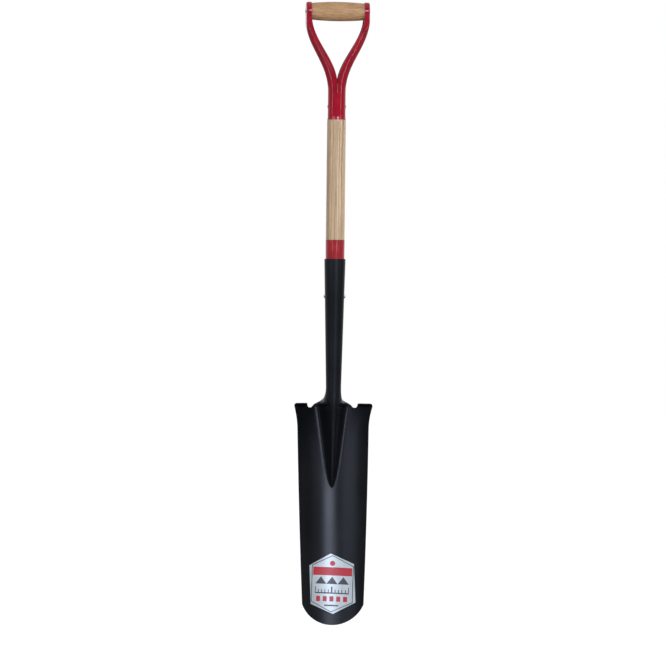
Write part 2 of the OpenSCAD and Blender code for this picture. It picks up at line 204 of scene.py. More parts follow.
class GripSizes(bpy.types.PropertyGroup):
    """Sizes of the yoke, the crossbar and the fasteners."""

    height: length("Height", "Height of the crossbar's axis above the tube's rim", 0.198)
    hand: length("Hand width", "Length of the crossbar that shows between the cups", 0.0974)
    sheet: length("Sheet", "Thickness of the yoke's pressed steel", 0.0016)
    tube: length("Tube", "Outside diameter of the yoke's tube", 0.0325)
    rim: length("Rim", "Outside diameter of the tube's flared rim", 0.0338)
    rim_height: length("Rim height", "Height of the flared rim", 0.005)
    tube_height: length("Tube height", "Height of the tube below the fork", 0.0475)
    crotch: length("Crotch rise", "Height above the tube at which the slit opens", 0.0154)
    slit: length("Slit", "Width of the slit between the arms", 0.0008)
    cup: length("Cup", "Outside diameter of the cups", 0.0348)
    cup_corner: length("Cup corner", "Rounding of the cups' outer top corners", 0.004)
    upright: length("Upright", "Depth below the crossbar's axis where the arms stand upright", 0.005)
    bar_end: length("Bar end", "Diameter of the crossbar at its ends", 0.0306)
    bar_rounding: length("Bar rounding", "Rounding of the crossbar's ends", 0.002)
    bore: length("Bore", "Diameter of the bore for the rod", 0.0067)
    rod: length("Rod", "Diameter of the rod through the crossbar", 0.0064)
    rod_head: length("Rod head", "Diameter of the rod's heads", 0.0088)
    socket_rivet: length("Socket rivet", "Diameter of the rivet through the socket", 0.006)
    socket_head: length("Socket rivet head", "Diameter of the heads of that rivet", 0.0084)
    yoke_rivet: length("Yoke rivet", "Diameter of the rivet through the yoke's tube", 0.0048)
    yoke_head: length("Yoke rivet head", "Diameter of the heads of that rivet", 0.0068)
    rounding: length("Edge rounding", "Rounding of the yoke's edges", 0.00055)


class LabelSizes(bpy.types.PropertyGroup):
    """Sizes of the foil label."""

    width: length("Width", "Width of the label", 0.082)
    height: length("Height", "Height of the label over its points", SPAN["label"].z)
    point: length("Point", "Height of each of the label's points", 0.020)
    foil: length("Foil", "Thickness of the foil", 0.00025)
    stand: length("Stand", "Height of the foil's front above the steel", 0.00035)
    tilt: angle("Tilt", "Turn of the label as it was laid on by hand", 2)


class Finishes(bpy.types.PropertyGroup):
    """Colours of the finishes, as linear values."""

    coat: colour("Black coat", "Satin powder coat of the blade", (0.0040, 0.0044, 0.0057))
    enamel: colour("Red enamel", "Glossy paint of the yoke", (0.272, 0.0062, 0.0168))
    film: colour("Red film", "Film band round the shaft", (0.282, 0.0125, 0.0175))
    ash: colour("Ash", "Pale wood of the shaft", (0.455, 0.318, 0.183))
    # Also the colour towards which the shaft's left side darkens, near the grain's heart, as painted
    # shade
    ash_dark: colour("Ash streaks", "Brown late wood of the shaft", (0.200, 0.112, 0.050))
    bar: colour("Bar wood", "Pale wood of the crossbar", (0.412, 0.240, 0.114))
    bar_dark: colour("Bar streaks", "Brown wood of the crossbar", (0.185, 0.090, 0.040))
    zinc: colour("Zinc", "Plated steel of the rivets and the rod", (0.60, 0.61, 0.63))
    foil: colour("Foil", "Bare foil of the label", (0.470, 0.496, 0.485))
    print_red: colour("Red print", "Red ink on the label", (0.40, 0.010, 0.018))
    print_dark: colour("Dark print", "Dark ink on the label", (0.040, 0.041, 0.046))


class StageSettings(bpy.types.PropertyGroup):
    """Camera and lamps of the plain studio."""

    distance: length("Distance", "Distance of the camera from the shaft's axis", 12.0)
    azimuth: angle("Azimuth", "Turn of the camera round the spade", -5)
    roll: angle("Roll", "Tilt of the picture about the line of sight", 0.65)
    aim_x: length("Aim across", "Place across that the camera looks at", -0.0021, -1.0)
    aim_z: length("Aim height", "Height that the camera looks at", -0.2741, -1.0)
    frame_width: length("Frame width", "Width of the picture at the shaft's axis", 1.2192)
    fill: share("Fill", "Strength of the soft light from all sides", 0.60)
    panel: share("Left panel", "Brightness of the wide far panel on the left", 4.7)
    strip: share("Right strip", "Brightness of the far right strip, which the blade mirrors", 19.8)
    side: share("Right panel", "Brightness of the wide far panel on the right", 1.4)
    near_left: share("Near left", "Brightness of the strip left of the shaft", 3.6)
    near_right: share("Near right", "Brightness of the strip right of the shaft", 9.0)
    grip_left: share("Grip left", "Brightness of the long strip left of the grip", 13.0)
    grip_right: share("Grip right", "Brightness of the long strip right of the grip", 17.0)
    frog_low: share("Frog low", "Brightness of the low strip, which the frog's crest mirrors", 17.0)


def mix(a, b, k):
    """The value a share k of the way from a to b."""
    return a + (b - a) * k


def within(f):
    """A share held between 0 and 1."""
    return max(0.0, min(1.0, f))


def ease(f):
    """A share that starts and ends gently."""
    return f * f * (3 - 2 * f)


def swell(f):
    """A share that follows half a wave."""
    return (1 - math.cos(math.pi * f)) / 2


def settle(f, power):
    """A share that starts fast and ends gently."""
    return 1 - (1 - f) ** power


def spread(count):
    """Evenly spaced shares from 0 to 1, one more than the count of cells."""
    return [i / count for i in range(count + 1)]


# Meshes

def mark_rim(mesh, reach=0.004):
    """Stores how near each point lies to an open edge of the sheet, from 0 to 1, for the wear."""
    uses = {}
    for face in mesh.polygons:
        for key in face.edge_keys:
            uses[key] = uses.get(key, 0) + 1
    border = sorted({v for key, count in uses.items() if count == 1 for v in key})
    tree = KDTree(len(border))
    for v in border:
        tree.insert(mesh.vertices[v].co, v)
    tree.balance()
    near = [max(0.0, 1 - tree.find(v.co)[2] / reach) for v in mesh.vertices]
    mesh.attributes.new("rim", "FLOAT", "POINT").data.foreach_set("value", near)


def grid_mesh(name, grids, solid=False):
    """A mesh of four-sided cells over grids of points, joined where their points meet."""
    made = bmesh.new()
    for grid in grids:
        rows = [[made.verts.new(p) for p in row] for row in grid]
        for low, high in zip(rows, rows[1:]):
            for corners in zip(low, low[1:], high[1:], high):
                made.faces.new(corners)
    bmesh.ops.remove_doubles(made, verts=made.verts, dist=JOIN)
    bmesh.ops.dissolve_degenerate(made, edges=made.edges, dist=JOIN)
    if solid:
        bmesh.ops.recalc_face_normals(made, faces=made.faces)
    mesh = bpy.data.meshes.new(name)
    made.to_mesh(mesh)
    made.free()
    if not mesh.polygons:
        raise RuntimeError(f"{name} has no faces")
    if not solid:
        mark_rim(mesh)
    return mesh


def soften(outline, size, steps=4):
    """An outline whose inner corners are rounded, each by at most a share of its sides."""
    points = [Vector(p) for p in outline]
    rounded = [points[0]]
    for before, corner, after in zip(points, points[1:], points[2:]):
        reach = min(size, CORNER * (before - corner).length, CORNER * (after - corner).length)
        start = corner + (before - corner).normalized() * reach
        end = corner + (after - corner).normalized() * reach
        for k in spread(steps):
            rounded.append(start.lerp(corner, k).lerp(corner.lerp(end, k), k))
    return rounded + [points[-1]]


def fine(outline, step):
    """An outline whose long straight stretches are cut into steps."""
    points = [Vector(outline[0])]
    for p in outline[1:]:
        start, end = points[-1], Vector(p)
        count = max(1, math.ceil((end - start).length / step))
        points += [start.lerp(end, k) for k in spread(count)[1:]]
    return points


def turned_rows(outline):
    """Rings about Z through the outline's points of (radius, height)."""
    turns = [2 * math.pi * k for k in spread(TURNS)]
    turns[-1] = 0.0
    return [[Vector((r * math.cos(t), r * math.sin(t), z)) for t in turns] for r, z in outline]


def across(rows, place):
    """Rings about Z, laid along X with their middle at a place."""
    return [[Vector((p.z, p.y, -p.x)) + place for p in row] for row in rows]


def mirrored(row):
    """A row of points on the other side of the spade's middle, in reverse order."""
    return [Vector((-p.x, p.y, p.z)) for p in reversed(row)]


def pin_rows(node, shank, head, seat):
    """Rings of a pin along X whose domed heads stand just clear of the face that seat(y, z) gives."""
    middle, reach = MIDDLE[node], SPAN[node].x / 2
    flat = seat(0.0, middle.z) + PLAY
    rise = reach - flat
    dome = ((head / 2) ** 2 + rise ** 2) / (2 * rise)
    full = math.asin(head / 2 / dome)
    outline = [(dome * math.sin(full * k), flat + dome * math.cos(full * k) - dome + rise)
               for k in spread(HEAD_RINGS)]
    rows = across(turned_rows(outline), middle)
    for radius in (head / 2, shank / 2):
        foot = across(turned_rows([(radius, 0.0)]), middle)[0]
        rows.append([Vector((seat(p.y, p.z) + PLAY, p.y, p.z)) for p in foot])
    return rows + [[Vector((-p.x, p.y, p.z)) for p in row] for row in reversed(rows)]


def add_modifier(piece, kind, **settings):
    """Adds a modifier with its settings."""
    made = piece.modifiers.new(kind.title(), kind)
    for key, value in settings.items():
        setattr(made, key, value)


def add_piece(mesh, material, node):
    """Puts a finished mesh in the scene in place of its CAD node."""
    piece = bpy.data.objects.new(mesh.name, mesh)
    bpy.context.scene.collection.objects.link(piece)
    mesh.materials.append(material)
    mesh.shade_smooth()
    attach(piece, "root")
    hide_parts(node)
    return piece


def add_sheet(name, grids, material, node, thickness, rounding):
    """Puts a sheet in the scene, with its thickness behind its front and its edges rounded."""
    piece = add_piece(grid_mesh(name, grids), material, node)
    add_modifier(piece, "SOLIDIFY", thickness=thickness, offset=-1.0, use_even_offset=False)
    add_modifier(piece, "BEVEL", width=rounding, segments=3, limit_method="ANGLE",
                 angle_limit=ROUND_FROM, harden_normals=True)


def add_turned(name, rows, material, node):
    """Puts a turned piece in the scene, shaded by its larger faces."""
    piece = add_piece(grid_mesh(name, [rows], solid=True), material, node)
    piece.data.set_sharp_from_angle(angle=SHARP_FROM)
    add_modifier(piece, "WEIGHTED_NORMAL", keep_sharp=True)


class BladeForm:
    """The pressed sheet of the blade, frog, neck and socket, by height above the tip."""

    def __init__(self, sizes):
        self.sizes = sizes
        self.tip_z = LOW["blade"].z + sizes.sheet * math.sin(sizes.lift)
        self.mouth_h = LOW["shaft_band"].z - self.tip_z
        self.bend_h = sizes.blade - sizes.bend - sizes.sheet
        self.neck_h = sizes.blade + sizes.neck_rise
        self.round_h = sizes.blade + sizes.fillet
        self.apex_h = sizes.blade - sizes.frog
        self.tip_rise = self.tip_h(1.0)
        self.taper = (sizes.mouth - sizes.neck) / 2 / (self.mouth_h - self.neck_h)
        self.run = sizes.bend * math.pi / 2

    def tip_h(self, part):
        """Height of the round tip's edge at a share of its half width."""
        radius = self.sizes.tip_radius
        return radius - math.sqrt(radius ** 2 - (part * self.sizes.tip / 2) ** 2)

    def edge_x(self, h):
        """Half width of the front."""
        sizes = self.sizes
        part = within((h - self.tip_rise) / (self.bend_h - self.tip_rise))
        flare = within((h - self.bend_h + sizes.ear) / sizes.ear)
        plain = mix(sizes.tip, sizes.shoulder, part + SIDE_BOW * part * (1 - part)) / 2
        ear = (sizes.step - sizes.shoulder) / 2 * flare ** 2
        return (plain + ear) * sizes.gutter / (sizes.gutter + sizes.sheet)

    def frog_part(self, h):
        """Share of the frog's length that lies below a height."""
        return max(0.0, (h - self.apex_h) / (self.bend_h - self.apex_h))

    def frog_half(self, h):
        """Half width of the frog, which flares towards the step."""
        part = self.frog_part(h)
        return self.sizes.frog_width / 2 * mix(math.sqrt(part), part ** FLARE_POWER, FROG_FLARE)

    def open_point(self, x, h):
        """A point on the open blade: the sloping gutter with the frog pressed up in it."""
        sizes = self.sizes
        y = sizes.heel + (h - self.bend_h) * math.tan(sizes.lift)
        y += math.sqrt(sizes.gutter ** 2 - x ** 2) - sizes.gutter
        half = self.frog_half(h)
        if abs(x) < half:
            rise = (sizes.heel + sizes.neck / 2) * self.frog_part(h) ** CLIMB
            y -= rise * swell(1 - (abs(x) / half) ** CREST) ** TOE
        return Vector((x, y, h))

    def strip_x(self, t, h):
        """Place across of a column of the middle strip, which fans out over the frog."""
        edge = STRIP * self.edge_x(min(h, self.bend_h))
        away = abs(h - self.apex_h) / (self.bend_h - self.apex_h)
        knee = min(max(self.sizes.frog_width * KNEE * math.sqrt(away), KNEE_LEAST), edge * KNEE_MOST)
        n = abs(t) * STRIP_CELLS
        x = knee * n / FROG_CELLS
        if n > FROG_CELLS:
            x = mix(knee, edge, (n - FROG_CELLS) / (STRIP_CELLS - FROG_CELLS))
        return math.copysign(x, t)

    def strip_row(self, h):
        """A row above the bend, cut narrower and rolled from the blade's section to the socket's."""
        sizes = self.sizes
        part = within((h - self.bend_h) / (self.round_h - self.bend_h))
        closing = settle(part, ROLL)
        cut = mix(1.0, WAIST, settle(within(part / WAIST_RISE), WAIST_POWER))
        radius = sizes.neck / 2 + max(0.0, h - self.neck_h) * self.taper
        step = (math.pi - math.asin(sizes.seam / 2 / radius)) / STRIP_CELLS
        flat = [self.open_point(self.strip_x(t, h) * cut, h) for t in spread(STRIP_CELLS)]
        x, y = 0.0, mix(flat[0].y, -radius, settle(part, FRONT))
        half = [Vector((x, y, h))]
        for i, (a, b) in enumerate(zip(flat, flat[1:])):
            way = b - a
            turn = mix(math.atan2(way.y, way.x), step * (i + 0.5), closing)
            reach = mix(way.length, 2 * radius * math.sin(step / 2), closing)
            x, y = x + reach * math.cos(turn), y + reach * math.sin(turn)
            half.append(Vector((x, y, h)))
        return mirrored(half[1:]) + half

    def low_h(self, part, h):
        """Height of a point below the frog, where the rows bend down round the tip's edge."""
        return mix(self.tip_h(part), self.apex_h, h / self.apex_h)

    def front(self, x):
        """The way that the gutter's front faces at a place across."""
        aside = x / self.sizes.gutter
        return Vector((-aside, -math.sqrt(1 - aside ** 2), 0))

    def tread_point(self, part, run):
        """A point of a tread, which bends forward and then runs flat."""
        sizes = self.sizes
        x = part * self.edge_x(self.bend_h)
        foot = self.open_point(x, self.bend_h)
        turn = min(run / sizes.bend, math.pi / 2)
        ahead = sizes.bend * (1 - math.cos(turn)) + max(0.0, run - self.run)
        return foot + self.front(x) * ahead + Vector((0, 0, sizes.bend * math.sin(turn)))

    def columns(self):
        """Places of the columns: a share of the strip's half, then a share of the half width."""
        strip = [(t, 0.0) for t in spread(STRIP_CELLS)]
        wing = [(0.0, mix(STRIP, 1.0, k)) for k in spread(SCALLOP_CELLS + TREAD_CELLS)[1:]]
        half = strip + wing
        return [(-t, -u) for t, u in reversed(half[1:])] + half

    def blade_point(self, t, u, h):
        """A point of the blade below the step."""
        part = abs(u) or abs(self.strip_x(t, 0.0)) / self.edge_x(0.0)
        level = self.low_h(part, h) if h < self.apex_h else h
        return self.open_point(u * self.edge_x(level) if u else self.strip_x(t, h), level)

    def blade_grid(self):
        """The open blade from its tip to the bend of its step."""
        heights = [self.apex_h * k for k in spread(GUTTER_ROWS)]
        heights += [mix(self.apex_h, self.bend_h, k ** FROG_PACE) for k in spread(FROG_ROWS)[1:]]
        return [[self.blade_point(t, u, h) for t, u in self.columns()] for h in heights]

    def strip_grid(self):
        """The neck and the rolled socket above the bend."""
        heights = [mix(self.bend_h, self.round_h, k) for k in spread(NECK_ROWS)]
        heights += [mix(self.round_h, self.mouth_h, k) for k in spread(SOCKET_ROWS)[1:]]
        return [self.strip_row(h) for h in heights]

    def tread_reach(self, k):
        """Share of the full reach across a tread, which rises from nothing and rounds off outside."""
        return min(1.0, k / TREAD_FULL) - TREAD_LOSS * within((k - TREAD_OFF) / (1 - TREAD_OFF)) ** 2

    def tread_grid(self, side):
        """One tread, on the side of the sign."""
        start = SCALLOP_CELLS / (SCALLOP_CELLS + TREAD_CELLS)
        ways = spread(TREAD_CELLS) if side > 0 else spread(TREAD_CELLS)[::-1]
        full = self.run + self.sizes.tread
        return [[self.tread_point(side * mix(STRIP, 1.0, mix(start, 1.0, k)),
                                  full * self.tread_reach(k) * row)
                 for k in ways] for row in spread(BEND_ROWS)]

    def placed(self, p):
        """A point with the scallops cut down beside the neck, at its height on the shaft's axis."""
        sizes = self.sizes
        aside = within(1 - ((abs(p.x) - sizes.scallop_out) / sizes.scallop_half) ** 2) ** 2
        above = p.z - self.bend_h
        rise = ease(within(1 + above / sizes.scallop_below))
        fall = ease(within(1 - above / sizes.scallop_above))
        drop = sizes.scallop * aside * rise * fall
        return p + Vector((0, -drop * math.tan(sizes.lift), self.tip_z - drop))

    def grids(self):
        """All the grids of the sheet."""
        made = [self.blade_grid(), self.strip_grid(), self.tread_grid(-1), self.tread_grid(1)]
        return [[[self.placed(p) for p in row] for row in grid] for grid in made]

    def socket_radius(self, z):
        """Outside radius of the socket at a height of the shaft's axis."""
        return self.sizes.mouth / 2 - (LOW["shaft_band"].z - z) * self.taper


class YokeForm:
    """The pressed yoke, by height above its rim."""

    def __init__(self, sizes):
        self.sizes = sizes
        self.bar_h = sizes.height
        self.foot_z = MIDDLE["crossbar"].z - sizes.height
        self.outer = SPAN["yoke"].x / 2

    def channel(self, lip, web, depth, roundness, h):
        """Half of a section: a half round at the tube that squares up for the cup."""
        points = []
        for k in spread(ARM_CELLS):
            turn = mix(-1, 1, k) * math.pi / 2
            cosine, sine = math.cos(turn), math.sin(turn)
            reach = (abs(cosine) ** roundness + abs(sine) ** roundness) ** (-1 / roundness)
            points.append(Vector((mix(lip, web, cosine * reach), depth * sine * reach, self.foot_z + h)))
        return points

    def tube_row(self, h):
        """Half of the tube, whose rim flares."""
        sizes = self.sizes
        radius = mix(sizes.rim, sizes.tube, ease(within(h / sizes.rim_height))) / 2
        return self.channel(0.0, radius, radius, ROUND, h)

    def arm_row(self, h):
        """A section of the right arm between the tube and the crossbar's axis."""
        sizes = self.sizes
        lean = within((h - sizes.tube_height) / (self.bar_h - sizes.cup / 2 - sizes.tube_height))
        start = sizes.tube_height + sizes.crotch
        part = within((h - start) / (self.bar_h - sizes.upright - start))
        opening = swell(part + OPENING * part ** 3 * (1 - part))
        slit = sizes.slit * math.sqrt(within((h - sizes.tube_height) / SLIT_RISE))
        web = mix(sizes.tube / 2, self.outer, swell(lean) ** LEAN)
        depth = mix(sizes.tube, sizes.cup, ease(lean)) / 2
        roundness = mix(ROUND, SQUARE, ease(lean) ** LATE)
        return self.channel(mix(slit, sizes.hand, opening) / 2, web, depth, roundness, h)

    def cup_row(self, turn):
        """A section of the cup over the crossbar."""
        sizes = self.sizes
        radius = sizes.cup / 2
        rise = within((radius * math.sin(turn) - radius + sizes.cup_corner) / sizes.cup_corner)
        web = self.outer - sizes.cup_corner * (1 - math.sqrt(1 - rise ** 2))
        return self.channel(sizes.hand / 2, web, radius * math.cos(turn), SQUARE,
                            self.bar_h + radius * math.sin(turn))

    def grids(self):
        """Both halves of the yoke, which meet below the slit."""
        sizes = self.sizes
        rows = [self.tube_row(sizes.tube_height * k) for k in spread(TUBE_ROWS)]
        paces = [k ** ARM_PACE for k in spread(ARM_ROWS)[1:]]
        rows += [self.arm_row(mix(sizes.tube_height, self.bar_h, k)) for k in paces]
        rows += [self.cup_row(math.pi / 2 * k) for k in spread(CUP_ROWS)[1:]]
        return [rows, [mirrored(row) for row in rows]]


# Shader nodes

def put(tree, kind, inputs=None, **settings):
    """Adds a shader node; an input that is a socket is linked, and any other is set."""
    made = tree.nodes.new("ShaderNode" + kind)
    for key, value in settings.items():
        setattr(made, key, value)
    for key, value in (inputs or {}).items():
        if isinstance(value, bpy.types.NodeSocket):
            tree.links.new(value, made.inputs[key])
        else:
            made.inputs[key].default_value = value
    return made


def calc(tree, operation, a, b=0.0, c=0.0):
    """The result of a sum on sockets or numbers."""
    return put(tree, "Math", {0: a, 1: b, 2: c}, operation=operation).outputs[0]


def blend(tree, factor, a, b):
    """The colour a share of the way from a to b."""
    ends = [x if isinstance(x, bpy.types.NodeSocket) else (*x, 1.0) for x in (a, b)]
    inputs = {0: factor, 6: ends[0], 7: ends[1]}
    return put(tree, "Mix", inputs, data_type="RGBA").outputs[2]


def between(tree, factor, a, b):
    """The value a share of the way from a to b."""
    return put(tree, "Mix", {0: factor, 2: a, 3: b}, data_type="FLOAT").outputs[0]


def remap(tree, value, low, high, to_low=0.0, to_high=1.0):
    """A value eased from one range to another."""
    inputs = {"Value": value, "From Min": low, "From Max": high, "To Min": to_low, "To Max": to_high}
    return put(tree, "MapRange", inputs, interpolation_type="SMOOTHSTEP").outputs[0]


def noise(tree, place, scale, detail=2.0):
    """Soft noise from 0 to 1 at a place."""
    return put(tree, "TexNoise", {"Vector": place, "Scale": scale, "Detail": detail}).outputs[0]


def stretched(tree, place, factors):
    """A place multiplied along each axis."""
    return put(tree, "VectorMath", {0: place, 1: factors}, operation="MULTIPLY").outputs[0]


def drawn(tree, place, thick, long, detail):
    """Noise drawn out along Z, by its paces across and along."""
    return noise(tree, stretched(tree, place, (thick, thick, long)), 1.0, detail)


def varied(tree, value, low=0.0, high=1.0):
    """A value that follows noise over its usual range."""
    return remap(tree, value, 0.3, 0.7, low, high)


def over(tree, base, mask, amount, tint):
    """A colour with a share of another laid over it, where the mask is."""
    return blend(tree, calc(tree, "MULTIPLY", mask, amount), base, tint)


def shade(tint, k):
    """A colour made darker or lighter."""
    return [k * c for c in tint]


def own_place(tree):
    """The place on the piece, in metres."""
    return put(tree, "TexCoord").outputs["Object"]


def shader_group(name, inputs, outputs, build):
    """A node group whose build function links its inputs to its outputs."""
    tree = bpy.data.node_groups.new(name, "ShaderNodeTree")
    for label, default in inputs.items():
        kind = "NodeSocketVector" if isinstance(default, tuple) else "NodeSocketFloat"
        tree.interface.new_socket(label, in_out="INPUT", socket_type=kind).default_value = default
    for label in outputs:
        tree.interface.new_socket(label, in_out="OUTPUT", socket_type="NodeSocketFloat")
    entry = tree.nodes.new("NodeGroupInput").outputs
    leave = tree.nodes.new("NodeGroupOutput").inputs
    for label, socket in build(tree, entry).items():
        tree.links.new(socket, leave[label])
    return tree


def use(tree, name, inputs=None):
    """Places a node group, built once, and returns its outputs."""
    known = bpy.data.node_groups.get(name) or GROUPS[name]()
    return put(tree, "Group", inputs, node_tree=known).outputs


def paint_film():
    """Sprayed paint: fine peel, slow clouds and sparse specks of dust."""
    def build(tree, given):
        place = own_place(tree)
        peel = noise(tree, place, given["Peel Scale"])
        cloud = noise(tree, place, given["Cloud Scale"], 4.0)
        speck = remap(tree, noise(tree, place, given["Speck Scale"], 1.0), 0.70, 0.78)
        height = calc(tree, "MULTIPLY_ADD", cloud, given["Wave"], peel)
        return {"Height": height, "Cloud": cloud, "Speck": speck}
    inputs = {"Peel Scale": 900.0, "Cloud Scale": 14.0, "Speck Scale": 700.0, "Wave": 2.0}
    return shader_group("Paint Film", inputs, ("Height", "Cloud", "Speck"), build)


def edge_rub():
    """Paint rubbed thin along the cut edges of a sheet, broken up by noise."""
    def build(tree, given):
        rim = put(tree, "Attribute", attribute_name="rim").outputs["Fac"]
        broken = noise(tree, own_place(tree), given["Scale"], 5.0)
        worn = calc(tree, "MULTIPLY_ADD", broken, 0.9, rim)
        return {"Mask": remap(tree, worn, given["Start"], 1.75)}
    return shader_group("Edge Rub", {"Scale": 160.0, "Start": 1.35}, ("Mask",), build)


def wood_grain():
    """Rings round a heart outside the piece, fibres and pores, all drawn out along Z; the wood is made
    darker near the heart, which paints shade on the side of a piece that faces it.
    """
    def build(tree, given):
        place = given["Vector"]
        bow = drawn(tree, place, 16.0, 3.2, 3.0)
        away = put(tree, "VectorMath", {0: place, 1: given["Heart"]}, operation="SUBTRACT").outputs[0]
        flat = stretched(tree, away, (1.0, 1.0, 0.0))
        far = put(tree, "VectorMath", {0: flat}, operation="LENGTH").outputs["Value"]
        far = calc(tree, "MULTIPLY_ADD", bow, given["Bow"], far)
        part = calc(tree, "FRACT", calc(tree, "DIVIDE", far, given["Ring Width"]))
        late = calc(tree, "POWER", part, 1.8)
        early = remap(tree, part, 0.42, 0.12)
        fibre = drawn(tree, place, 1500.0, 26.0, 3.0)
        streak = drawn(tree, place, 380.0, 9.0, 4.0)
        dash = drawn(tree, place, 1900.0, 90.0, 1.0)
        pore = calc(tree, "MULTIPLY", remap(tree, dash, 0.56, 0.66), early)
        # Darker wood within a few centimetres of the heart: painted shade on the side of the piece that
        # faces the heart
        tone = remap(tree, far, 0.038, 0.062, 0.34, 0.0)
        for effect, weight in ((late, 0.42), (streak, 0.85), (fibre, 0.35)):
            tone = calc(tree, "MULTIPLY_ADD", effect, weight, tone)
        height = calc(tree, "SUBTRACT", calc(tree, "MULTIPLY", fibre, 0.6), pore)
        return {"Tone": tone, "Pore": pore, "Height": height, "Fibre": fibre}
    inputs = {"Vector": (0.0, 0.0, 0.0), "Heart": (0.05, 0.03, 0.0), "Ring Width": 0.0022, "Bow": 0.006}
    return shader_group("Wood Grain", inputs, ("Tone", "Pore", "Height", "Fibre"), build)


def plating():
    """Bright plated steel: turned marks and cloudy patches."""
    def build(tree, given):
        place = own_place(tree)
        marks = noise(tree, stretched(tree, place, (90.0, 1.0, 1.0)), given["Scale"], 3.0)
        cloud = noise(tree, place, 420.0, 3.0)
        return {"Marks": marks, "Cloud": cloud}
    return shader_group("Plating", {"Scale": 60.0}, ("Marks", "Cloud"), build)


GROUPS = {"Paint Film": paint_film, "Edge Rub": edge_rub, "Wood Grain": wood_grain, "Plating": plating}


def clear_tree(owner):
    """The node tree of a material or a world, made empty."""
    owner.use_nodes = True
    owner.node_tree.nodes.clear()
    return owner.node_tree


def new_material(name, **sockets):
    """A material with one Principled shader; sockets holds what is the same all over."""
    made = bpy.data.materials.new(name)
    tree = clear_tree(made)
    even = {key.replace("_", " ").title().replace("Ior", "IOR"): value for key, value in sockets.items()}
    shader = put(tree, "BsdfPrincipled", even)
    put(tree, "OutputMaterial", {"Surface": shader.outputs[0]})
    return made, tree, shader


def link(tree, shader, base, rough, height, depth, metal=None):
    """Links what changes over the surface; depth is the height of the bumps in metres."""
    for key, socket in (("Base Color", base), ("Roughness", rough), ("Metallic", metal)):
        if socket is not None:
            tree.links.new(socket, shader.inputs[key])
    bump = put(tree, "Bump", {"Height": height, "Strength": 1.0, "Distance": depth})
    tree.links.new(bump.outputs[0], shader.inputs["Normal"])


def coat_material(finish):
    """Satin black powder coat with a fine peel, a little dust and thin edges."""
    made, tree, shader = new_material("powder_coat_black", specular_ior_level=0.23)
    film = use(tree, "Paint Film", {"Peel Scale": 750.0, "Cloud Scale": 11.0, "Wave": 9.0})
    rub = use(tree, "Edge Rub")["Mask"]
    dust, thin = (0.16, 0.16, 0.17), (0.055, 0.056, 0.060)
    base = blend(tree, varied(tree, film["Cloud"]), shade(finish.coat, 0.75), shade(finish.coat, 1.25))
    base = over(tree, base, film["Speck"], 0.10, dust)
    base = over(tree, base, rub, 0.35, thin)
    rough = varied(tree, film["Cloud"], 0.285, 0.335)
    link(tree, shader, base, rough, film["Height"], depth=0.000010)
    return made


def enamel_material(finish):
    """Glossy red enamel on pressed steel."""
    made, tree, shader = new_material("enamel_red", specular_ior_level=0.26)
    film = use(tree, "Paint Film", {"Peel Scale": 420.0, "Cloud Scale": 45.0, "Wave": 4.0})
    rub = use(tree, "Edge Rub", {"Scale": 240.0, "Start": 1.45})["Mask"]
    dust, thin = (0.45, 0.20, 0.20), (0.060, 0.010, 0.012)
    cloud = remap(tree, film["Cloud"], 0.25, 0.75)
    base = blend(tree, cloud, shade(finish.enamel, 0.72), finish.enamel)
    base = over(tree, base, film["Speck"], 0.12, dust)
    base = over(tree, base, rub, 0.45, thin)
    link(tree, shader, base, between(tree, cloud, 0.05, 0.09), film["Height"], depth=0.000008)
    return made


def wood_material(name, pale, dark, heart, ring, varnish, along=(0, 0, 0), pace=(1, 1, 1)):
    """Varnished wood; along turns the grain's Z to the piece's length, and pace shortens the grain."""
    made, tree, shader = new_material(name, coat_weight=varnish, coat_roughness=0.13,
                                      specular_ior_level=0.2)
    turned = {"Vector": own_place(tree), "Rotation": along, "Scale": pace}
    place = put(tree, "Mapping", turned).outputs[0]
    grain = use(tree, "Wood Grain", {"Vector": place, "Heart": heart, "Ring Width": ring})
    base = blend(tree, remap(tree, grain["Tone"], 0.55, 1.15), pale, dark)
    base = over(tree, base, grain["Pore"], 0.55, shade(dark, 0.45))
    rough = varied(tree, grain["Fibre"], 0.40, 0.54)
    link(tree, shader, base, rough, grain["Height"], depth=0.000012)
    return made


def film_material(finish):
    """Red film, through which the grain of the wood below it shows as faint ridges."""
    made, tree, shader = new_material("film_red", coat_weight=0.8, coat_roughness=0.08,
                                      specular_ior_level=0.1)
    film = use(tree, "Paint Film", {"Peel Scale": 500.0, "Cloud Scale": 70.0})
    grain = use(tree, "Wood Grain", {"Vector": own_place(tree)})
    dust = (0.5, 0.3, 0.3)
    base = blend(tree, varied(tree, film["Cloud"]), shade(finish.film, 0.8), finish.film)
    base = over(tree, base, film["Speck"], 0.1, dust)
    rough = varied(tree, film["Cloud"], 0.30, 0.38)
    link(tree, shader, base, rough, grain["Height"], depth=0.000012)
    return made


def zinc_material(name, finish, dull):
    """Plated steel; dull makes it rougher and darker."""
    made, tree, shader = new_material(name, metallic=1.0)
    plate = use(tree, "Plating")
    low, high = mix(0.75, 0.45, dull), mix(1.0, 0.7, dull)
    base = blend(tree, varied(tree, plate["Cloud"]), shade(finish.zinc, low), shade(finish.zinc, high))
    rough = varied(tree, plate["Marks"], mix(0.20, 0.34, dull), mix(0.32, 0.46, dull))
    link(tree, shader, base, rough, plate["Marks"], depth=0.000010)
    return made


